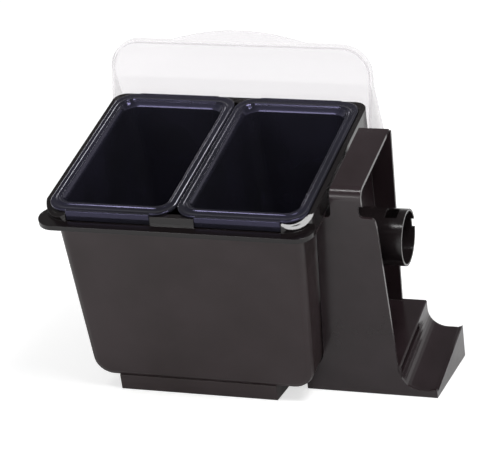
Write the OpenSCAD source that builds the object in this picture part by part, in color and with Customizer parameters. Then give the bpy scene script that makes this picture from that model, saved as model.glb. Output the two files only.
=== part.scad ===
// Bar garnish centre: a bin that leans back on its plinth and holds two
// lift-out tubs under a roll-back lid, with a moulded caddy at its right side.
// The bin is drawn upright from the plane of its tub rims, then leaned.

/* [Stance] */
// Lean of the rim plane towards the front, degrees
lean = 15; // [10:0.5:20]
// Height of the rim plane above the table at the front edge of the tubs
rim_height = 150.5; // [140:0.5:175]

/* [Tubs] */
// Width of one tub opening
tub_w = 77.2; // [60:0.2:95]
// Length of one tub opening from front to back
tub_l = 140.7; // [115:0.1:170]
// Depth of a tub below its rim
tub_depth = 100; // [60:1:112]
// Corner radius of a tub opening
tub_corner = 9; // [5:0.5:12]
// Wall thickness of a tub
tub_wall = 1.8; // [1.2:0.1:2.4]
// Draft of a tub, lost on each side from rim to floor
tub_draft = 5.2; // [3:0.1:7]
// Width of the rim along the long sides
rim_side = 7; // [5:0.5:9]
// Width of the rim along the front and back
rim_end = 9.9; // [8:0.1:14]
// Thickness of the rim
rim_t = 2; // [1.4:0.1:3]
// Gap between the rims of the two tubs
tub_gap = 0.8; // [0.4:0.1:3]
// Width of the finger tabs
tab_w = 60; // [40:1:64]
// Drop of the finger tabs below the rim
tab_drop = 7.4; // [4:0.1:7.6]

/* [Bin] */
// Wall thickness of the bin
wall = 2.5; // [1.8:0.1:3.5]
// Depth of the bin below the rim plane
bin_depth = 145; // [125:1:146]
// Draft of the bin side walls, millimetres per millimetre
side_draft = 0.05; // [0.03:0.002:0.07]
// Draft of the bin front and back walls
end_draft = 0.046; // [0.03:0.002:0.07]
// Radius of the lower corners seen from the front
bottom_corner = 15; // [8:0.5:20]
// Radius of the upright corners
upright_corner = 7; // [4:0.5:12]
// Thickness of the collar wall
collar_t = 3.6; // [2.5:0.1:5]
// Reach of the front lip beyond the collar
lip_reach = 7; // [4:0.5:10]
// Half width of the plinth
plinth_half = 58; // [48:1:64]
// Length of the plinth from front to back, along the bin floor
plinth_l = 128.4; // [100:0.2:134]

/* [Lid] */
// Thickness of the lid
lid_t = 2; // [1.5:0.1:3]
// Gap between the collar and the side walls of the lid
lid_gap = 0.8; // [0.5:0.1:1.2]
// Corner radius of the lid
lid_corner = 22; // [15:1:28]
// Height of the underside of the lid above the rim plane at its front
lid_clear = 3; // [2:0.5:6]
// Distance behind the front of the tub openings at which the dome starts to rise
dome_start = 14.5; // [8:0.5:24]
// Gap between the dome and the tub tabs it passes over
dome_gap = 1.4; // [1:0.1:3]
// Swing of the lid from closed to open, degrees
lid_open = 97.5; // [90:0.5:100]
// Distance of the hinge line behind the middle of the tub openings
hinge_behind = 19.65; // [12:0.05:26]
// Depth of the hinge line below the rim plane
hinge_n = 58; // [45:1:64]
// Radius of the hinge stubs
stub_r = 5; // [3:0.5:7]
// Radial running clearance of the hinge
stub_fit = 0.06; // [0.03:0.01:0.1]
// Reach of the finger grip beyond the lid front
grip_reach = 8; // [5:0.5:12]

/* [Caddy] */
// Front of the caddy, behind the front of the tub openings
caddy_d = 26.4; // [20:0.2:40]
// Length of the caddy from front to back
caddy_l = 84.5; // [75:0.5:100]
// Wall thickness of the caddy
caddy_wall = 2.5; // [1.8:0.1:3]
// Height of the caddy top above the rim plane
caddy_top = 2.7; // [1:0.1:4]
// Depth of the caddy shelf below the rim plane
shelf_n = 139; // [120:1:142]
// Outer radius of the roll tube
tube_r = 20; // [14:0.5:24]
// Wall thickness of the roll tube
tube_wall = 1.6; // [1.2:0.1:2.5]
// Reach of the roll tube from the caddy wall
tube_reach = 34; // [20:1:40]
// Depth of the tube line below the rim plane
tube_n = 57.7; // [50:0.1:70]

/* [Hidden] */
$fn = 96;
fine = 32;          // facets on the upright corners of the bin body
basin_fine = 36;     // facets on the corners of the tub basins
puck_fine = 32;     // facets on the large lower corners of the bin
fit = 0.3;          // gap round a seated rim
eps = 0.01;

pitch = tub_w + 2 * rim_side + tub_gap;
rim_out = pitch - tub_gap / 2;
rim_corner = tub_corner + 5.5;
rim_front = -rim_end;
rim_back = tub_l + rim_end + 1.2;
lead_in = 1.8;      // sloped mouth of a tub, across
lead_drop = 4;      // sloped mouth of a tub, down
tab_t = 2;          // thickness of a finger tab
tab_out = 2;        // step of the tab beyond the rim

collar_top = -1.5;
collar_base = -17;
collar_out = rim_out + fit + collar_t;
collar_front = rim_front - fit - 2.3;
collar_back = rim_back + fit + 1.8;
ledge_in = rim_out - 4.2;
ledge_top = -rim_t;
room_top = ledge_top - wall;
room_low = collar_base + wall + 1;
bin_half = collar_out - 7.5;
bin_front = collar_front + 7.2;
bin_back = collar_back - 7.6;
lip_top = -8;
lip_base = -11.5;
lip_front = collar_front - lip_reach;
lip_half = collar_out + 2.5;
floor_half = bin_half - side_draft * (bin_depth + collar_base);
floor_front = bin_front + end_draft * (bin_depth + collar_base);
floor_back = bin_back - end_draft * (bin_depth + collar_base);
plinth_front = floor_front + 0.3;
plinth_shift = 4.5;  // the plinth stands a little to the left
plinth_back = plinth_front + plinth_l;
rib_half = 4;        // half thickness of the ribs in the plinth

lid_in = collar_out + lid_gap;
lid_out = lid_in + lid_t;
lid_front = collar_front - lid_gap - lid_t;
lid_skirt = lip_top + 0.2;
lid_brow = -0.5;    // lower edge of the lid at its front, clear of the tabs
ear_r = 11;
hinge_d = tub_l / 2 + hinge_behind;
ear_spread = 25;    // half width of a lid arm where it leaves the side wall
dome_r = norm([tub_l + rim_end + tab_out - hinge_d, hinge_n]) + dome_gap;
dome_inset = 0.5452; // end of the open dome, inside the top of the bin's back wall
dome_end = lid_open - acos((bin_back - dome_inset - hinge_d) / dome_r);
lip_back = hinge_d + sqrt(pow(dome_r - 2.5, 2) - pow(hinge_n + lip_top, 2));
facet_x = rim_out - 5.8;
facet_d = rim_front + 7.1;

caddy_back = caddy_d + caddy_l;
cx = lid_out + 1.2;                       // left edge of the caddy top
cut_half = 400;                           // half size of the cutting blocks
wall_x = cx + 4;                          // arm side of the upright wall
table_n = rim_height / cos(lean);         // table below the front of the tubs
tube_d = caddy_d + 40.9;
tube_end = wall_x + caddy_wall + tube_reach;
spigot_r = tube_r - 0.6;
side_x = cx + 62.3;                       // outer face of the caddy base
tongue_x = floor_half - bottom_corner + 1.1;   // left edge of the caddy foot
tongue_n = -bin_depth - 0.5;

// Middle of the plinth on the table, which is the origin
foot_near = plinth_front / cos(lean) + rim_height * tan(lean);
foot_far = plinth_back / cos(lean) + rim_height * tan(lean);
origin_y = (foot_near + foot_far) / 2;

// Point where a line from p touches the circle of radius r round c
function touch(c, r, p, s) =
    let (v = p - c, a = atan2(v[1], v[0]) + s * acos(r / norm(v)))
    c + r * [cos(a), sin(a)];

module leaned() {
    translate([0, -origin_y, rim_height])
        rotate([lean, 0, 0])
            children();
}

// Flat shape in front-to-back and height, run across from x0 to x1
module across(x0, x1) {
    translate([x0, 0, 0])
        rotate([90, 0, 90])
            linear_extrude(x1 - x0)
                children();
}

// Flat shape in width and height, run backwards from d0 to d1
module backwards(d0, d1) {
    translate([0, d1, 0])
        rotate([90, 0, 0])
            linear_extrude(d1 - d0)
                children();
}

module slab(n0, n1) {
    translate([0, 0, n0])
        linear_extrude(n1 - n0)
            children();
}

// Rectangle with one radius at the front corners and one at the back
module plate(half, d0, d1, rf, rb) {
    square_from(-half, half, d0 + rf, d1 - rb);
    square_from(-half + rf, half - rf, d0, d0 + rf);
    square_from(-half + rb, half - rb, d1 - rb, d1);
    for (s = [-1, 1]) {
        translate([s * (half - rf), d0 + rf])
            circle(rf);
        translate([s * (half - rb), d1 - rb])
            circle(rb);
    }
}

module square_from(x0, x1, y0, y1) {
    translate([x0, y0])
        square([x1 - x0, y1 - y0]);
}

module block(x0, x1, d0, d1, n0, n1) {
    translate([x0, d0, n0])
        cube([x1 - x0, d1 - d0, n1 - n0]);
}

// Everything below the table
module below_table() {
    rotate([-lean, 0, 0])
        translate([-cut_half, -cut_half, -rim_height - 2 * cut_half])
            cube(2 * cut_half);
}

// ---- tubs ----

// Drafted basin with rounded floor edges, centred on its own width
module basin(half, d0, d1, n_top, n_low, r, r_low, draft) {
    hull() {
        for (s = [-1, 1])
            for (d = [d0 + r, d1 - r])
                translate([s * (half - r), d, n_top - eps])
                    cylinder(r = r, h = eps, $fn = basin_fine);
        for (s = [-1, 1])
            for (d = [d0 + draft + r_low, d1 - draft - r_low])
                translate([s * (half - draft - r_low), d, n_low + r_low])
                    sphere(r_low, $fn = basin_fine);
    }
}

// Sloped mouth that leads from the opening into the basin
module mouth(half) {
    hull() {
        slab(-lead_drop, -lead_drop + eps)
            plate(half - lead_in, lead_in, tub_l - lead_in, tub_corner, tub_corner);
        slab(0, eps)
            plate(half, 0, tub_l, tub_corner, tub_corner);
    }
}

module tab() {
    slab(-rim_t, 0)
        square_from(-tab_w / 2, tab_w / 2, rim_front - tab_out, rim_front + 2);
    slab(-tab_drop, 0)
        square_from(-tab_w / 2, tab_w / 2, rim_front - tab_out,
            rim_front - tab_out + tab_t);
}

module tub() {
    half = tub_w / 2;
    low_half = half - lead_in;
    difference() {
        union() {
            slab(-rim_t, 0)
                plate(half + rim_side, rim_front, rim_back, rim_corner, rim_corner);
            basin(low_half + tub_wall, lead_in - tub_wall, tub_l - lead_in + tub_wall,
                -rim_t + eps, -tub_depth, tub_corner + tub_wall, 10, tub_draft);
            slab(-lead_drop, -rim_t + eps)
                plate(half + 0.4, -0.4, tub_l + 0.4, tub_corner + 1, tub_corner + 1);
            rim_bead(half + 3.4, 3.4);
            tab();
            translate([0, tub_l, 0])
                mirror([0, 1, 0])
                    tab();
        }
        basin(low_half, lead_in, tub_l - lead_in, -lead_drop + 2 * eps,
            -tub_depth + tub_wall, tub_corner, 9, tub_draft);
        mouth(half);
        slab(-eps, 1)
            plate(half, 0, tub_l, tub_corner, tub_corner);
    }
}

// Low bead that runs round the rim
module rim_bead(half, out) {
    difference() {
        slab(-eps, 0.7)
            plate(half, -out, tub_l + out, tub_corner + 3, tub_corner + 3);
        slab(-1, 2)
            plate(half - 1.4, -out + 1.4, tub_l + out - 1.4, tub_corner + 2, tub_corner + 2);
    }
}

module tub_left() {
    color("#2e2b40")
        leaned()
            translate([-pitch / 2, 0, 0])
                tub();
}

module tub_right() {
    color("#2e2b40")
        leaned()
            translate([pitch / 2, 0, 0])
                tub();
}

// ---- bin ----

// Drafted body with large lower corners, shrunk by t for its inside
module body(t, n_top) {
    r = upright_corner - t;
    rl = bottom_corner - t;
    hull() {
        for (s = [-1, 1])
            for (d = [bin_front + t + r, bin_back - t - r])
                translate([s * (bin_half - t - r), d, n_top])
                    cylinder(r = r, h = eps, $fn = fine);
        for (s = [-1, 1]) {
            low_puck(s, floor_front + t, rl, 1, t);
            low_puck(s, floor_back - t, rl, -1, t);
        }
    }
}

// Rounded end of the large lower corner, at one end of the body
module low_puck(s, d, r, way, t) {
    for (k = [[0, 4], [1.2, 1.2], [4, 0]])
        translate([s * (floor_half - t - r), d + way * k[0], -bin_depth + t + r])
            rotate([90 * way, 0, 0])
                translate([0, 0, -0.5])
                    cylinder(r = r - k[1], h = 0.5, $fn = puck_fine);
}

// Collar block with its sloped front, before the bin is hollowed
module collar() {
    difference() {
        intersection() {
            slab(collar_base, collar_top)
                plate(collar_out, collar_front, collar_back,
                    lid_corner - lid_t - lid_gap, 10);
            across(-collar_out - 1, collar_out + 1)
                polygon([[collar_front + 1, collar_top], [collar_front, lip_top],
                    [collar_front, collar_base - 1], [collar_back + 1, collar_base - 1],
                    [collar_back + 1, collar_top]]);
        }
        for (s = [0, 1])
            mirror([s, 0, 0])
                corner_facet();
        // slope that carries the underside of the lip into the body
        across(-collar_out - 1, collar_out + 1)
            polygon([[lip_front, lip_base], [bin_front, collar_base],
                [bin_front, collar_base - 2], [lip_front, collar_base - 2]]);
    }
}

// Inside of the bin: body, room behind the collar wall, mouth and tub seat
module inside() {
    body(wall, room_low + 0.1);
    slab(room_low, room_top)
        plate(rim_out + fit, rim_front - fit, rim_back + fit, rim_corner, rim_corner);
    slab(room_top - 0.1, 1)
        plate(ledge_in, rim_front + 4, rim_back - 4, 8, 8);
    slab(ledge_top, 1)
        plate(rim_out + fit, rim_front - fit, rim_back + fit, rim_corner, rim_corner);
    for (s = [-1, 1])
        for (end = [0, 1])
            tab_notch(s * pitch / 2, end);
}

module tab_notch(x, end) {
    translate([x, end * tub_l, 0])
        mirror([0, end, 0])
            block(-tab_w / 2 - fit, tab_w / 2 + fit, rim_front - 8, rim_front + 1,
                lip_top + eps, 1);
}

// Block behind the sloped facet on a front corner of the collar
module corner_facet() {
    translate([facet_x, facet_d, collar_top])
        rotate([0, 0, 36])
            rotate([38, 0, 0])
                translate([-30, -60, 0])
                    cube([80, 80, 30]);
}

// Front lip with its sloped underside
module front_lip() {
    slab(lip_base, lip_top)
        plate(lip_half, lip_front, lip_front + 15.5, 13, 1);
    hull() {
        slab(lip_base, lip_base + eps)
            plate(lip_half - 1.5, lip_front + 1.5, lip_front + 15, 12, 1);
        slab(collar_base + 2.5, collar_base + 3)
            plate(bin_half + 5, bin_front - 7, bin_front + 5, 10, 1);
        slab(collar_base, collar_base + eps)
            plate(bin_half - 0.2, bin_front + 0.2, bin_front + 9, upright_corner, 1);
    }
}

module back_lip() {
    slab(lip_base, lip_top)
        square_from(-collar_out + 12, collar_out - 12, collar_back - 1, lip_back);
}

module hinge_boss(s) {
    boss_x = bin_x(-hinge_n - stub_r - 3) - wall / 2;
    translate([0, hinge_d, -hinge_n])
        rotate([0, 90 * s, 0]) {
            translate([0, 0, boss_x])
                cylinder(r = stub_r + 3, h = lid_in - 0.4 - boss_x);
            translate([0, 0, boss_x])
                cylinder(r = stub_r, h = lid_out + 1.4 - boss_x);
        }
}

module plinth() {
    difference() {
        block(-plinth_half - plinth_shift, plinth_half - plinth_shift,
            plinth_front, plinth_back, -table_n - 60, -bin_depth + 1);
        block(-plinth_half - plinth_shift + wall, plinth_half - plinth_shift - wall,
            plinth_front + wall, plinth_back - wall, -table_n - 61, -bin_depth);
    }
    // two ribs that cross under the middle of the bin
    mid = (plinth_front + plinth_back) / 2;
    block(-rib_half, rib_half, plinth_front + 1, plinth_back - 1,
        -table_n - 60, -bin_depth + 1);
    block(-plinth_half - plinth_shift + 1, plinth_half - plinth_shift - 1,
        mid - rib_half, mid + rib_half, -table_n - 60, -bin_depth + 1);
}

module bin() {
    color("#3b3634")
        leaned()
            difference() {
                union() {
                    body(0, collar_base + wall);
                    collar();
                    front_lip();
                    back_lip();
                    for (s = [-1, 1])
                        hinge_boss(s);
                    plinth();
                }
                inside();
                below_table();
            }
}

// ---- lid ----

// Side view of the lid, its two arms and the ears round the hinge
module lid_side() {
    c = [hinge_d, -hinge_n];
    p1 = [hinge_d - ear_spread, lid_skirt];
    p2 = [hinge_d + ear_spread, lid_skirt];
    far = c + (dome_r + lid_t + 8) * [cos(dome_end), sin(dome_end)];
    polygon([[lid_front - 1, dome_r], [lid_front - 1, lid_brow], [9, lid_brow],
        [39, lid_skirt], p1,
        touch(c, ear_r, p1, 1), c, touch(c, ear_r, p2, -1), p2,
        [hinge_d + (hinge_n + lid_skirt) / tan(dome_end), lid_skirt],
        far, [far[0], dome_r]]);
    translate(c)
        circle(ear_r);
}

// Filled side view of the dome, drawn closed; t shrinks it for its inside
module dome(t) {
    c = [hinge_d, -hinge_n];
    r = dome_r + lid_t - t;
    p = [dome_start, lid_clear + lid_t - t];
    low = -hinge_n - ear_r - 5 - t;
    translate(c)
        circle(r);
    polygon([[lid_front + t, low], [lid_front + t, p[1]], p, touch(c, r, p, -1), c,
        [hinge_d, low]]);
}

module lid_shell(t) {
    intersection() {
        across(-lid_out - 1, lid_out + 1)
            dome(t);
        slab(-2 * cut_half, cut_half)
            plate(lid_out - t, lid_front + t, hinge_d + 2 * dome_r + t, lid_corner - t, 6);
    }
}

// Swept edge of the finger grip
module grip() {
    w = 0.52 * lid_out;
    slab(lid_clear, lid_clear + lid_t)
        polygon(concat([for (k = [-20 : 20])
            [w * k / 20, lid_front - grip_reach * (1 - pow(k / 20, 2))]],
            [[w, lid_front + lid_t], [-w, lid_front + lid_t]]));
}

module lid_closed() {
    difference() {
        union() {
            intersection() {
                difference() {
                    lid_shell(0);
                    lid_shell(lid_t);
                }
                across(-lid_out - 2, lid_out + 2)
                    lid_side();
            }
            grip();
        }
        translate([-lid_out - 1, hinge_d, -hinge_n])
            rotate([0, 90, 0])
                cylinder(r = stub_r + stub_fit, h = 2 * lid_out + 2);
    }
}

module lid() {
    color("#eeeef0")
        leaned()
            translate([0, hinge_d, -hinge_n])
                rotate([-lid_open, 0, 0])
                    translate([0, -hinge_d, hinge_n])
                        lid_closed();
}

// ---- caddy ----

function bin_x(n) = bin_half - side_draft * (collar_base - n);

// Outline of the front panel in width and height
module front_panel() {
    arc_c = [floor_half - bottom_corner, -bin_depth + bottom_corner];
    arc_r = bottom_corner + 0.6;
    polygon(concat(
        [[cx, caddy_top - 4], [cx - 0.3, -15.5], [cx - 1.4, -17.8], [cx - 3.4, -18.6],
            [bin_x(-18.6) + 0.6, -18.6]],
        [for (a = [0 : -10 : -80]) arc_c + arc_r * [cos(a), sin(a)]],
        [[tongue_x, tongue_n], [tongue_x, -table_n - 60], [side_x, -table_n - 60]],
        base_line(),
        [[cx + 37.6, -bin_depth - 3.4], [cx + 35.7, -bin_depth + 2.8],
            [cx + 34.8, -118.4], [cx + 32.9, -74.2], [cx + 30.9, -26.1],
            [cx + 30.1, -20.6], [cx + 28.3, -18.5], [cx + 21.2, -18.1],
            [cx + 19.1, -16.9], [cx + 19, -7.5], [cx + 21.6, caddy_top - 4],
            [cx + 21.6, caddy_top - 2], [cx, caddy_top - 2]]));
}

// Top of the tray end of the front panel, from the outside in
function base_line() =
    [[side_x, -157.6], [side_x - 0.8, -156.6], [cx + 56.9, -157.8], [cx + 48.6, -157.6],
        [cx + 41.3, -154.1]];

// Line of the shelf, riser and tray surface, from left to right
function tray_line() =
    concat([[wall_x, -shelf_n], [cx + 36.4, -shelf_n], [cx + 37.2, -shelf_n - 0.8],
        [cx + 37.3, -shelf_n - 7.8]],
        [for (a = [180 : 10 : 270]) [cx + 51.2, -shelf_n - 7.8] + 13.9 * [cos(a), sin(a)]],
        [[side_x - 3, -shelf_n - 21.7], [side_x, -shelf_n - 20]]);

module tray() {
    line = tray_line();
    backwards(caddy_d + 1, caddy_back)
        polygon(concat(line, [[side_x, -shelf_n - 25], [cx + 50.4, -shelf_n - 24.2],
            [cx + 40, -shelf_n - 19.5], [cx + 34.8, -shelf_n - 10],
            [cx + 34.7, -shelf_n - caddy_wall], [wall_x, -shelf_n - caddy_wall]]));
}

module back_panel() {
    polygon([[cx + 1.7, caddy_top - 1], [wall_x, -shelf_n], [wall_x, -shelf_n - 3],
        [cx + 19.5, -shelf_n - 3], [cx + 19.5, -shelf_n], [cx + 23.2, caddy_top - 1]]);
    polygon(concat(tray_line(), [[side_x, -table_n - 60], [tongue_x, -table_n - 60],
        [tongue_x, tongue_n], [wall_x, tongue_n]]));
}

module caddy_body() {
    fr = 8;
    difference() {
        union() {
            backwards(caddy_d, caddy_d + caddy_wall)
                front_panel();
            backwards(caddy_back - caddy_wall, caddy_back)
                back_panel();
            // top plate with its rounded front edge
            across(cx, cx + 21.6)
                difference() {
                    union() {
                        square_from(caddy_d + fr, caddy_back, caddy_top - caddy_wall, caddy_top);
                        square_from(caddy_d, caddy_d + fr, -9, caddy_top - fr);
                        translate([caddy_d + fr, caddy_top - fr])
                            circle(fr);
                    }
                    square_from(caddy_d + caddy_wall, caddy_back - 1, -9 - fr, caddy_top - fr);
                    translate([caddy_d + fr, caddy_top - fr])
                        circle(fr - caddy_wall);
                    square_from(caddy_d + fr, caddy_d + 2 * fr, -9, caddy_top - caddy_wall);
                }
            block(wall_x, wall_x + caddy_wall, caddy_d + 1, caddy_back - 1,
                -table_n - 60, caddy_top - 1);
            tray();
            block(side_x - caddy_wall, side_x, caddy_d + 1, caddy_back - 1,
                -table_n - 60, -shelf_n - 20.5);
            block(tongue_x, wall_x + 1, caddy_d + 1, caddy_back - 1,
                tongue_n - caddy_wall, tongue_n);
            block(tongue_x, tongue_x + caddy_wall, caddy_d + 1, caddy_back - 1,
                -table_n - 60, tongue_n);
        }
        // rounded upper front edge is cut clear of the flat panel
        across(cx - 1, cx + 22)
            difference() {
                square_from(caddy_d - 1, caddy_d + fr, caddy_top - fr, caddy_top + 1);
                translate([caddy_d + fr, caddy_top - fr])
                    circle(fr);
            }
        // slot in the riser above the tray
        block(cx + 34, cx + 40, caddy_d + 4, caddy_d + 58.6, -shelf_n - 8, -shelf_n - 2.6);
        // hole for the roll tube
        translate([wall_x - 1, tube_d, -tube_n])
            rotate([0, 90, 0])
                cylinder(r = spigot_r + 0.03, h = caddy_wall + 2);
        below_table();
    }
}

module caddy() {
    color("#3a3436")
        leaned()
            caddy_body();
}

// Open tube with a narrower spigot that is pressed into the caddy wall
module roll_tube() {
    color("#2f2b2c")
        leaned()
            translate([wall_x, tube_d, -tube_n])
                rotate([0, 90, 0])
                    difference() {
                        union() {
                            cylinder(r = spigot_r, h = caddy_wall + 1);
                            translate([0, 0, caddy_wall])
                                cylinder(r = tube_r, h = tube_reach);
                        }
                        translate([0, 0, -1])
                            cylinder(r = tube_r - tube_wall, h = tube_reach + caddy_wall + 2);
                        // window in the top near the open end
                        translate([-tube_r - 2, -6, caddy_wall + tube_reach - 14])
                            cube([10, 12, 8.5]);
                        // key notch in the open end
                        translate([-4, tube_r - 4, caddy_wall + tube_reach - 2])
                            cube([7, 6, 3]);
                    }
}

bin();
tub_left();
tub_right();
lid();
caddy();
roll_tube();
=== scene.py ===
import math
import bpy
import numpy as np
from mathutils import Matrix, Vector


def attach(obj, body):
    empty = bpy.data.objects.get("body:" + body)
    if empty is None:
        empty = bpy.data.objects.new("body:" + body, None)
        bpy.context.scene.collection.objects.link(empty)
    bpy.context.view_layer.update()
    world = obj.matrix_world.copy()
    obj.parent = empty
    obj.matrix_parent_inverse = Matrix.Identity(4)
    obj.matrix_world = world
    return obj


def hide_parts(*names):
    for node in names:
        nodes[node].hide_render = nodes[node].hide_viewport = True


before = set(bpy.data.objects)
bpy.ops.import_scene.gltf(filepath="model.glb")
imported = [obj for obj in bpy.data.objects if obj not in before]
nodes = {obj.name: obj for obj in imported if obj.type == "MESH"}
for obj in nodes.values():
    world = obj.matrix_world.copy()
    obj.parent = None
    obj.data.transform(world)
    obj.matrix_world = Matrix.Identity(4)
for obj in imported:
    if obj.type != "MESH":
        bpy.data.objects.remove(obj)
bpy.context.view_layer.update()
print("frame loaded:", sorted(nodes))


def hexLinear(code):
    # sRGB hex to linear: the lower part is a straight line, the rest a 2.4 power
    parts = [int(code.lstrip("#")[i:i + 2], 16) / 255 for i in (0, 2, 4)]
    return tuple(p / 12.92 if p <= 0.04045 else ((p + 0.055) / 1.055) ** 2.4 for p in parts) + (1.0,)


def addNode(tree, kind, settings=None, inputs=None):
    # one node with its settings; an input is a value, or a socket to link from
    node = tree.nodes.new(kind)
    for key, value in (settings or {}).items():
        setattr(node, key, value)
    for key, value in (inputs or {}).items():
        if isinstance(value, bpy.types.NodeSocket):
            tree.links.new(value, node.inputs[key])
        else:
            node.inputs[key].default_value = value
    return node


def newMaterial(name):
    material = bpy.data.materials.new(name)
    material.use_nodes = True
    tree = material.node_tree
    tree.nodes.clear()
    return material, tree


# plane of the tub rims: its lean, its height, and how far in front of the origin the openings start, in mm
stance = {"lean": math.radians(15), "rimHeight": 150.5, "originY": 107.71041}


def overRims(tree, where, low, high):
    # 0 below the height low and 1 above high, both in mm from the plane of the rims: the dot product with the
    # upward direction of that plane, less the plane's own
    s, c = math.sin(stance["lean"]), math.cos(stance["lean"])
    base = stance["originY"] * s + stance["rimHeight"] * c
    height = addNode(tree, "ShaderNodeVectorMath", {"operation": "DOT_PRODUCT"}, {0: where, 1: (0, -s, c)})
    band = addNode(tree, "ShaderNodeMapRange",
                   inputs={"Value": height.outputs["Value"],
                           "From Min": (base + low) / 1000, "From Max": (base + high) / 1000})
    return band.outputs["Result"]


noiseLow, noiseHigh = 0.3, 0.7  # nearly all of a noise lies between these

blackPlastic = {
    "colorDark": "#281E1F", "colorPale": "#312729",  # cloudy mix of the black pigment
    "cloudMm": 45,          # size of the pigment clouds
    "cloudSpan": (0.35, 0.65),  # part of the noise that goes from dark to pale
    "sparkMm": 0.8,         # spark-eroded grain; the real 0.2 mm is too fine to show, so it is drawn coarser
    "grainDepthMm": 0.012,
    "grainStrength": 0.35,
    "flowMm": 14,           # marks left by the flow of the melt, which change the gloss
    "roughLow": 0.33, "roughHigh": 0.43,
    "ior": 1.49,
    "gloss": 0.42,          # polypropylene reflects a little less than the default
    "edgeMm": 0.6,          # softened edges of the moulding
    "polishedMm": None,     # height over the rims from which the mould is polished, or None
    "polishedFadeMm": 0.6,
    "colorPolished": "#151112", "roughPolished": 0.16,
}


def makeBlackPlastic(name, settings):
    # polypropylene, injection moulded in a spark-eroded tool: a satin black that turns pale grey when seen along
    # its face, and a deeper, glossier black where the tool is polished
    material, tree = newMaterial(name)
    where = addNode(tree, "ShaderNodeTexCoord").outputs["Object"]
    cloud = addNode(tree, "ShaderNodeTexNoise", {"noise_dimensions": "3D"},
                    {"Vector": where, "Scale": 1000 / settings["cloudMm"], "Detail": 3.0, "Roughness": 0.55})
    grain = addNode(tree, "ShaderNodeTexNoise", {"noise_dimensions": "3D"},
                    {"Vector": where, "Scale": 1000 / settings["sparkMm"], "Detail": 2.0, "Roughness": 0.6})
    flow = addNode(tree, "ShaderNodeTexNoise", {"noise_dimensions": "3D"},
                   {"Vector": where, "Scale": 1000 / settings["flowMm"], "Detail": 4.0, "Roughness": 0.6,
                    "Distortion": 0.6})
    edge = addNode(tree, "ShaderNodeBevel", {"samples": 4}, {"Radius": settings["edgeMm"] / 1000})
    bump = addNode(tree, "ShaderNodeBump",
                   inputs={"Height": grain.outputs["Fac"], "Strength": settings["grainStrength"],
                           "Distance": settings["grainDepthMm"] / 1000, "Normal": edge.outputs["Normal"]})
    pigment = addNode(tree, "ShaderNodeValToRGB", inputs={"Fac": cloud.outputs["Fac"]})
    for element, share, code in zip(pigment.color_ramp.elements, settings["cloudSpan"],
                                    (settings["colorDark"], settings["colorPale"])):
        element.position, element.color = share, hexLinear(code)
    gloss = addNode(tree, "ShaderNodeMapRange",
                    inputs={"Value": flow.outputs["Fac"], "From Min": noiseLow, "From Max": noiseHigh,
                            "To Min": settings["roughLow"], "To Max": settings["roughHigh"]})
    color, rough = pigment.outputs["Color"], gloss.outputs["Result"]
    if settings["polishedMm"] is not None:
        polished = overRims(tree, where, settings["polishedMm"] - settings["polishedFadeMm"],
                            settings["polishedMm"] + settings["polishedFadeMm"])
        # numbered sockets of Mix: 0 is the factor, 6 and 7 are two colours, 2 and 3 are two numbers
        color = addNode(tree, "ShaderNodeMix", {"data_type": "RGBA"},
                        {0: polished, 6: color, 7: hexLinear(settings["colorPolished"])}).outputs[2]
        rough = addNode(tree, "ShaderNodeMix", {"data_type": "FLOAT"},
                        {0: polished, 2: rough, 3: settings["roughPolished"]}).outputs[0]
    shader = addNode(tree, "ShaderNodeBsdfPrincipled",
                     inputs={"Base Color": color, "Roughness": rough, "IOR": settings["ior"],
                             "Specular IOR Level": settings["gloss"], "Normal": bump.outputs["Normal"]})
    addNode(tree, "ShaderNodeOutputMaterial", inputs={"Surface": shader.outputs["BSDF"]})
    return material


tubPlastic = {
    "colorDeep": "#1D1D22", "colorPale": "#262530",
    "cloudMm": 60,          # slow change of the tint, which also sinks the surface a little
    "cloudSpan": (0.3, 0.7),    # part of the noise that goes from deep to pale
    "sinkMm": 0.2, "sinkStrength": 0.03,
    "hazeMm": 9,            # wiping marks that dull the polish
    "roughLow": 0.08, "roughHigh": 0.16,
    "ior": 1.58,
    "transmission": 0.12,
    "gleam": "#B9B4E6",     # reflections take the violet of the tint
}


def makeTubPlastic(name, settings):
    # polycarbonate, injection moulded and polished: a dark blue-violet tint, glossy, with light lines along
    # its ridges
    material, tree = newMaterial(name)
    where = addNode(tree, "ShaderNodeTexCoord").outputs["Object"]
    cloud = addNode(tree, "ShaderNodeTexNoise", {"noise_dimensions": "3D"},
                    {"Vector": where, "Scale": 1000 / settings["cloudMm"], "Detail": 2.0, "Roughness": 0.5})
    haze = addNode(tree, "ShaderNodeTexNoise", {"noise_dimensions": "3D"},
                   {"Vector": where, "Scale": 1000 / settings["hazeMm"], "Detail": 5.0, "Roughness": 0.65})
    bump = addNode(tree, "ShaderNodeBump",
                   inputs={"Height": cloud.outputs["Fac"], "Strength": settings["sinkStrength"],
                           "Distance": settings["sinkMm"] / 1000})
    tint = addNode(tree, "ShaderNodeValToRGB", inputs={"Fac": cloud.outputs["Fac"]})
    for element, share, code in zip(tint.color_ramp.elements, settings["cloudSpan"],
                                    (settings["colorDeep"], settings["colorPale"])):
        element.position, element.color = share, hexLinear(code)
    rough = addNode(tree, "ShaderNodeMapRange",
                    inputs={"Value": haze.outputs["Fac"], "From Min": noiseLow, "From Max": noiseHigh,
                            "To Min": settings["roughLow"], "To Max": settings["roughHigh"]})
    shader = addNode(tree, "ShaderNodeBsdfPrincipled",
                     inputs={"Base Color": tint.outputs["Color"], "Roughness": rough.outputs["Result"],
                             "IOR": settings["ior"],
                             "Transmission Weight": settings["transmission"],
                             "Specular Tint": hexLinear(settings["gleam"]), "Normal": bump.outputs["Normal"]})
    addNode(tree, "ShaderNodeOutputMaterial", inputs={"Surface": shader.outputs["BSDF"]})
    return material


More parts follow.
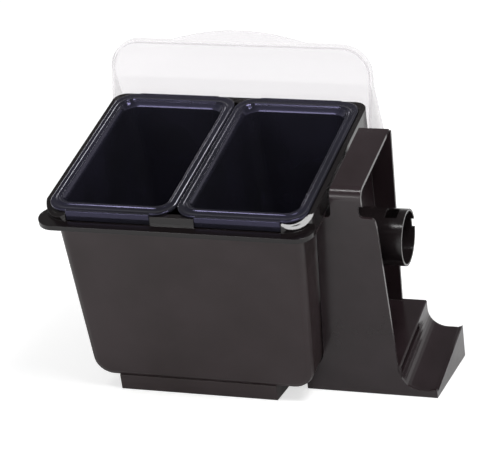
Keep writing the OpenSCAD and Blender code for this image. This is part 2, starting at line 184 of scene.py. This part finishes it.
lidPlastic = {
    "color": "#F5F4F4",     # haze of the sheet
    "clear": "#FBFAFB",     # what passes straight through
    "haze": 0.125, "hazeEdge": 0.78,  # share of haze seen face on and along the sheet
    "hazeFrom": 0.45,       # slant, from 0 face on to 1 along the sheet, from which the haze grows
    "cloudMm": 30,          # patches of more and less polish
    "roughLow": 0.09, "roughHigh": 0.19,
    "ior": 1.58,
    "edgeMm": 0.8,          # softened edges of the moulding
}


def makeLidPlastic(name, settings):
    # polycarbonate sheet, moulded clear with a light haze: what is behind shows through a little greyed, and the
    # walls seen along themselves turn into pale grey lines
    material, tree = newMaterial(name)
    where = addNode(tree, "ShaderNodeTexCoord").outputs["Object"]
    cloud = addNode(tree, "ShaderNodeTexNoise", {"noise_dimensions": "3D"},
                    {"Vector": where, "Scale": 1000 / settings["cloudMm"], "Detail": 4.0, "Roughness": 0.6})
    edge = addNode(tree, "ShaderNodeBevel", {"samples": 4}, {"Radius": settings["edgeMm"] / 1000})
    rough = addNode(tree, "ShaderNodeMapRange",
                    inputs={"Value": cloud.outputs["Fac"], "From Min": noiseLow, "From Max": noiseHigh,
                            "To Min": settings["roughLow"], "To Max": settings["roughHigh"]})
    shader = addNode(tree, "ShaderNodeBsdfPrincipled",
                     inputs={"Base Color": hexLinear(settings["color"]), "Roughness": rough.outputs["Result"],
                             "IOR": settings["ior"], "Normal": edge.outputs["Normal"]})
    through = addNode(tree, "ShaderNodeBsdfTransparent", inputs={"Color": hexLinear(settings["clear"])})
    slant = addNode(tree, "ShaderNodeLayerWeight", inputs={"Blend": 0.5})
    share = addNode(tree, "ShaderNodeMapRange",
                    inputs={"Value": slant.outputs["Facing"], "From Min": settings["hazeFrom"], "From Max": 1.0,
                            "To Min": settings["haze"], "To Max": settings["hazeEdge"]})
    mix = addNode(tree, "ShaderNodeMixShader", inputs={0: share.outputs["Result"],
                                                       1: through.outputs["BSDF"], 2: shader.outputs["BSDF"]})
    addNode(tree, "ShaderNodeOutputMaterial", inputs={"Surface": mix.outputs["Shader"]})
    return material


# the same plastic for the bin, which is polished from its collar up, the caddy and the roll tube
binPlastic = dict(blackPlastic, polishedMm=-15.5)
caddyPlastic = dict(blackPlastic, colorDark="#241B1D", colorPale="#2C2326",
                    roughLow=0.15, roughHigh=0.24, gloss=0.5)
tubePlastic = dict(blackPlastic, colorDark="#181415", colorPale="#201B1C", roughLow=0.14, roughHigh=0.22)

binSatin = makeBlackPlastic("satin black polypropylene, bin", binPlastic)
caddySatin = makeBlackPlastic("satin black polypropylene, caddy", caddyPlastic)
tubeSatin = makeBlackPlastic("satin black polypropylene, tube", tubePlastic)
tubTint = makeTubPlastic("tinted polycarbonate, tubs", tubPlastic)
lidClear = makeLidPlastic("hazed clear polycarbonate, lid", lidPlastic)
print("materials made")

finishes = {"bin": binSatin, "caddy": caddySatin, "roll_tube": tubeSatin,
            "tub_left": tubTint, "tub_right": tubTint, "lid": lidClear}
for nodeName, material in finishes.items():
    slots = nodes[nodeName].material_slots
    for slot in slots:
        slot.material = material
    if not slots:
        nodes[nodeName].data.materials.append(material)
print("finishes put on the frame")


def fromRim(x, d, n):
    # x across, d backwards and n upwards in the plane of the rims, in mm, turned by the lean into metres
    c, s = math.cos(stance["lean"]), math.sin(stance["lean"])
    y, z = d * c - n * s - stance["originY"], d * s + n * c + stance["rimHeight"]
    return np.stack([x + 0 * d, y, z], axis=-1) / 1000


def roundedLoops(half, front, back, radius, arcSteps):
    # one closed loop a row: corner centre + radius * (cos t, sin t), t a quarter turn at each corner, and two
    # extra points near the ends of each straight, so that flat sides shade flat
    half, front, back, radius = (np.asarray(v, float)[:, None, None] for v in (half, front, back, radius))
    t = np.linspace(0, 1, arcSteps + 1)[None, None, :] * np.pi / 2 + np.arange(4)[None, :, None] * np.pi / 2
    sideX = np.array([1, -1, -1, 1])[None, :, None]
    centreD = np.where(np.array([1, 1, 0, 0])[None, :, None] == 1, back - radius, front + radius)
    x = sideX * (half - radius) + radius * np.cos(t)
    d = centreD + radius * np.sin(t)
    share = np.array([0.03, 0.97])[None, None, :]
    joined = []
    for v in (x, d):
        ends, starts = v[:, :, -1:], np.roll(v, -1, axis=1)[:, :, :1]
        joined.append(np.concatenate([v, ends + (starts - ends) * share], axis=2).reshape(v.shape[0], -1))
    return joined


def gridFaces(rows, columns):
    # quads between neighbouring rows and columns; the last column joins the first
    j = np.arange(columns)
    i = np.arange(rows - 1)[:, None]
    k = (j + 1) % columns
    a, b = i * columns + j, i * columns + k
    return np.stack([a, b, b + columns, a + columns], axis=-1).reshape(-1, 4)


def addMesh(name, points, faces, material):
    # one smooth-shaded mesh object at the origin
    mesh = bpy.data.meshes.new(name)
    mesh.from_pydata(points.reshape(-1, 3).tolist(), [], [list(map(int, f)) for f in faces])
    mesh.materials.append(material)
    mesh.polygons.foreach_set("use_smooth", np.full(len(mesh.polygons), True))
    mesh.update()
    thing = bpy.data.objects.new(name, mesh)
    bpy.context.scene.collection.objects.link(thing)
    return thing


# sizes in mm
tub = {
    "half": 38.6, "length": 140.7, "corner": 9.0,       # opening
    "pitch": 92.0,          # distance between the middles of the two tubs
    "rimSide": 7.0, "rimFront": 9.9, "rimBack": 11.1,   # width of the rim
    "rimCorner": 5.5,       # what the rim adds to the corner radius
    "beadOut": 3.4,         # outer edge of the bead, from the opening
    "mouthIn": 1.8, "mouthDrop": 4.0,                   # step under the opening
    "underRim": 2.0,        # thickness of the rim, down to the neck
    "neckOut": 0.4, "neckCorner": 1.0,                  # how far the neck stands out from the opening
    "creaseMm": 0.2,        # short step that keeps a crease crisp
    "depth": 100.0, "draft": 5.2, "wall": 1.8,
    "floorRound": 10.0, "floorRoundInside": 9.0,
    "leastRound": 0.6,      # corner radius that is left on the floor
    "filletDegrees": [86, 78, 66, 54, 42, 30, 18, 8, 0],
    "arcSteps": 14,
    "mouthShares": [0.25, 0.9, 1.0],                    # loops down that step
    "mouthEase": 0.04, "mouthEaseDrop": 0.7,            # last loop of the step, where the wall takes over
    # rim from its underside over the flange, its ridges, the bead and the inner land: distance out from the
    # opening, height
    "rimLine": [(6.7, -2), (6.95, -1.9), (7, -1.7), (7, -0.45), (6.9, -0.15), (6.6, 0), (6.0, 0), (5.7, -0.08),
                (5.1, -0.3), (4.8, -0.35), (4.3, -0.35), (4.0, -0.25), (3.4, 0.5), (3.15, 0.67), (2.95, 0.7),
                (2.5, 0.7), (2.3, 0.65), (2.05, 0.5), (1.6, -0.1), (1.4, -0.2), (1.1, -0.2), (0.8, -0.03),
                (0.45, 0), (0.25, -0.05), (0.05, -0.25), (-0.1, -0.6)],
}


def tubRows(s):
    # rows (half, front, back, radius, height) up the outside, over the rim and down the inside; a fillet's
    # loops keep their corner centres and shrink by radius * (1 - cos), while they sink by radius * sin
    top, length, corner, inner = s["half"], s["length"], s["corner"], s["mouthIn"]
    fillet = np.radians(s["filletDegrees"])

    def floorRow(t, edge, r, bottom):
        cut = edge + s["draft"] + r - r * math.cos(t)
        return top - cut, cut, length - cut, max(r * math.cos(t), s["leastRound"]), bottom + r - r * math.sin(t)

    rows = [floorRow(t, 0, s["floorRound"], -s["depth"]) for t in fillet]
    neck = (top + s["neckOut"], -s["neckOut"], length + s["neckOut"], corner + s["neckCorner"])
    rows += [(top, 0, length, corner + s["wall"], -s["mouthDrop"] - s["creaseMm"]),
             (*neck, -s["mouthDrop"]), (*neck, -s["underRim"])]
    for out, height in s["rimLine"]:
        past = max(out - s["beadOut"], 0) / (s["rimSide"] - s["beadOut"])
        near = min(out, s["beadOut"])
        rows.append((top + out, -near - past * (s["rimFront"] - s["beadOut"]),
                     length + near + past * (s["rimBack"] - s["beadOut"]),
                     corner + out * s["rimCorner"] / s["rimSide"], height))
    for share in s["mouthShares"]:
        cut = share * inner
        rows.append((top - cut, cut, length - cut, corner, -share * s["mouthDrop"]))
    lower = inner + s["mouthEase"]
    rows.append((top - lower, lower, length - lower, corner, -s["mouthDrop"] - s["mouthEaseDrop"]))
    rows += [floorRow(t, inner, s["floorRoundInside"], s["wall"] - s["depth"]) for t in fillet[::-1]]
    return np.array(rows)


fingerTab = {
    "half": 30.0, "step": 2.0,  # half its width, and how far its face stands out from the rim
    # section of a tab: distance in from its face, height
    "line": [(2.0, -7.2), (1.8, -7.4), (0.25, -7.4), (0.05, -7.25), (0, -6.9), (0, -0.6), (0.12, -0.22),
             (0.4, -0.04), (0.8, 0), (2.6, 0), (2.6, -1.6), (2.0, -2.0)],
    # sections across a tab, as a share of half its width, and how full each is
    "across": [-1, -1, -0.99, -0.97, 0.97, 0.99, 1, 1],
    "full": [0.0, 0.9, 0.99, 1, 1, 0.99, 0.9, 0.0],
    "heightShrink": 0.3,        # share of the shrinking that the height takes
}


def tabMesh(middle, atBack, s):
    # the section carried across; its last steps at each end shrink towards its own middle to round the corner
    line = np.array(s["line"])
    x = np.array(s["across"])[:, None] * s["half"]
    full = np.array(s["full"])[:, None]
    centre = line.mean(axis=0)
    inward = centre[0] + (line[None, :, 0] - centre[0]) * full
    fullHeight = np.where(full > 0.5, 1 - (1 - full) * s["heightShrink"], 0)
    height = centre[1] + (line[None, :, 1] - centre[1]) * fullHeight
    d = -tub["rimFront"] - s["step"] + inward
    faces = gridFaces(len(x), len(line))
    if atBack:
        d = tub["length"] - d
    else:
        faces = faces[:, ::-1]
    return fromRim(middle + x + 0 * d, d, height).reshape(-1, 3), faces


def makeTub(nodeName, side, material):
    # one closed shell: the loops joined by quads, a floor under and over the wall, and a tab at each end
    middle = side * tub["pitch"] / 2
    rows = tubRows(tub)
    x, d = roundedLoops(rows[:, 0], rows[:, 1], rows[:, 2], rows[:, 3], tub["arcSteps"])
    columns = x.shape[1]
    underside, floorTop = np.arange(columns)[::-1], np.arange(columns) + (len(rows) - 1) * columns
    faces = [*gridFaces(len(rows), columns), underside, floorTop]
    points = [fromRim(middle + x, d, rows[:, 4:5] + 0 * x).reshape(-1, 3)]
    for atBack in (False, True):
        tabPoints, tabFaces = tabMesh(middle, atBack, fingerTab)
        faces += list(tabFaces + sum(len(p) for p in points))
        points.append(tabPoints)
    thing = addMesh(nodeName + "_shell", np.concatenate(points), faces, material)
    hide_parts(nodeName)
    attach(thing, nodeName)


makeTub("tub_left", -1, tubTint)
makeTub("tub_right", 1, tubTint)
print("tubs lofted")


floor = {
    "halfMm": 6000,
    "belowMm": 0.4,         # gap under the object, against flicker
    "color": "#CFCFCF",
    "glowShadedNear": 0.66, "glowFar": 0.74,      # lift of the floor where it is seen directly, so that it reads as white; it is lower near the object, which paints shade around it
    "mirrorShadedNear": 0.16, "mirrorFar": 0.60,  # the same where the object's own gloss mirrors the floor; much lower near the object, a painted shade in its reflections
    "shadeNearMm": 95, "farMm": 330,             # distances from the middle between which the lift grows, the reach of the painted shade
    "middleMm": (30, -20, 0),
}


def makeFloor(settings):
    # one square just under the object
    h, z = settings["halfMm"] / 1000, -settings["belowMm"] / 1000
    mesh = bpy.data.meshes.new("floor")
    mesh.from_pydata([(-h, -h, z), (h, -h, z), (h, h, z), (-h, h, z)], [], [(0, 1, 2, 3)])
    thing = bpy.data.objects.new("floor", mesh)
    bpy.context.scene.collection.objects.link(thing)
    # paper sweep, matt and white: it takes the object's shadow and mirrors nothing
    material, tree = newMaterial("matt white paper, floor")
    path = addNode(tree, "ShaderNodeLightPath")
    seen = addNode(tree, "ShaderNodeMath", {"operation": "MAXIMUM"},
                   {0: path.outputs["Is Camera Ray"], 1: path.outputs["Is Transmission Ray"]})
    where = addNode(tree, "ShaderNodeTexCoord").outputs["Object"]
    away = addNode(tree, "ShaderNodeVectorMath", {"operation": "DISTANCE"},
                   {0: where, 1: [v / 1000 for v in settings["middleMm"]]})
    # the lift is weaker near the object's middle: painted shade around the object, on the floor seen directly and
    # in the object's reflections of it
    lifts = []
    for ray, near, far in ((seen.outputs["Value"], "glowShadedNear", "glowFar"),
                           (path.outputs["Is Glossy Ray"], "mirrorShadedNear", "mirrorFar")):
        shadedLift = addNode(tree, "ShaderNodeMapRange", {"interpolation_type": "SMOOTHSTEP"},
                       {"Value": away.outputs["Value"],
                        "From Min": settings["shadeNearMm"] / 1000, "From Max": settings["farMm"] / 1000,
                        "To Min": settings[near], "To Max": settings[far]})
        lifts.append(addNode(tree, "ShaderNodeMath", {"operation": "MULTIPLY"},
                             {0: ray, 1: shadedLift.outputs["Result"]}))
    lift = addNode(tree, "ShaderNodeMath", {"operation": "MAXIMUM"},
                   {0: lifts[0].outputs["Value"], 1: lifts[1].outputs["Value"]})
    paper = addNode(tree, "ShaderNodeBsdfDiffuse", inputs={"Color": hexLinear(settings["color"])})
    glow = addNode(tree, "ShaderNodeEmission", inputs={"Color": (1, 1, 1, 1), "Strength": lift.outputs["Value"]})
    both = addNode(tree, "ShaderNodeAddShader", inputs={0: paper.outputs["BSDF"], 1: glow.outputs["Emission"]})
    addNode(tree, "ShaderNodeOutputMaterial", inputs={"Surface": both.outputs["Shader"]})
    mesh.materials.append(material)


makeFloor(floor)

sky = {
    "room": "#FFFFFF",
    "horizon": 1.0, "top": 0.16,        # bright walls and a dark ceiling
    "lowEdge": 0.12, "highEdge": 0.55,  # height, as a share of a unit sphere, over which the room darkens
}


def makeSky(settings):
    # white where it is seen directly, and a room with a dark ceiling for light and reflections
    world = bpy.data.worlds.new("studio")
    bpy.context.scene.world = world
    world.use_nodes = True
    tree = world.node_tree
    tree.nodes.clear()
    path = addNode(tree, "ShaderNodeLightPath")
    seen = addNode(tree, "ShaderNodeMath", {"operation": "MAXIMUM"},
                   {0: path.outputs["Is Camera Ray"], 1: path.outputs["Is Transmission Ray"]})
    way = addNode(tree, "ShaderNodeSeparateXYZ",
                  inputs={"Vector": addNode(tree, "ShaderNodeTexCoord").outputs["Generated"]})
    room = addNode(tree, "ShaderNodeMapRange",
                   inputs={"Value": way.outputs["Z"],
                           "From Min": settings["lowEdge"], "From Max": settings["highEdge"],
                           "To Min": settings["horizon"], "To Max": settings["top"]})
    level = addNode(tree, "ShaderNodeMix", {"data_type": "FLOAT"},
                    {0: seen.outputs["Value"], 2: room.outputs["Result"], 3: 1.0})
    back = addNode(tree, "ShaderNodeBackground",
                   inputs={"Color": hexLinear(settings["room"]), "Strength": level.outputs[0]})
    addNode(tree, "ShaderNodeOutputWorld", inputs={"Surface": back.outputs["Background"]})


makeSky(sky)

# places and sizes in metres
lamps = [
    {"name": "softboxRight", "at": (0.60, -0.55, 1.27), "to": (0.0, 0.0, 0.12), "size": (0.50, 0.50), "watts": 13},
    {"name": "stripBack", "at": (-0.93, 0.99, 0.78), "to": (0.0, 0.0, 0.14), "size": (0.36, 0.24), "watts": 1.8},
    {"name": "softboxTop", "at": (-0.36, -0.65, 1.32), "to": (0.0, 0.0, 0.14), "size": (0.45, 0.18), "watts": 3.5},
    {"name": "softboxFront", "at": (-0.52, -1.45, 0.24), "to": (0.0, 0.0, 0.14), "size": (0.45, 0.28), "watts": 3},
]


def addLamp(settings):
    # a rectangle of light turned to its aim, not seen itself
    light = bpy.data.lights.new(settings["name"], "AREA")
    light.shape = "RECTANGLE"
    light.size, light.size_y = settings["size"]
    light.energy = settings["watts"]
    thing = bpy.data.objects.new(settings["name"], light)
    thing.location = settings["at"]
    aim = Vector(settings["to"]) - Vector(settings["at"])
    thing.rotation_euler = aim.to_track_quat("-Z", "Y").to_euler()
    thing.visible_camera = False
    bpy.context.scene.collection.objects.link(thing)


for lamp in lamps:
    addLamp(lamp)

camera = {
    "at": (0.52845, -1.56107, 0.61243),
    "focalPx": 2401.4, "framePx": 498,      # focal length and width of the frame, in pixels
    "sensorMm": 36,
    "azimuth": 18.182, "down": 17.146, "roll": 2.387,  # degrees
}


def addCamera(settings):
    # look direction, right and down come from the azimuth and tilt, then right and down turn by the roll
    a, e, r = (math.radians(settings[k]) for k in ("azimuth", "down", "roll"))
    look = Vector((-math.sin(a) * math.cos(e), math.cos(a) * math.cos(e), -math.sin(e)))
    right = Vector((math.cos(a), math.sin(a), 0))
    down = look.cross(right)
    rightTurned = right * math.cos(r) + down * math.sin(r)
    downTurned = down * math.cos(r) - right * math.sin(r)
    data = bpy.data.cameras.new("camera")
    data.sensor_fit = "HORIZONTAL"
    data.sensor_width = settings["sensorMm"]
    data.lens = settings["focalPx"] * settings["sensorMm"] / settings["framePx"]
    thing = bpy.data.objects.new("camera", data)
    turn = Matrix((rightTurned, -downTurned, -look)).transposed()
    thing.matrix_world = Matrix.Translation(settings["at"]) @ turn.to_4x4()
    bpy.context.scene.collection.objects.link(thing)
    bpy.context.scene.camera = thing


addCamera(camera)
bpy.context.scene.view_settings.view_transform = "Standard"
print("floor, lamps and camera set")
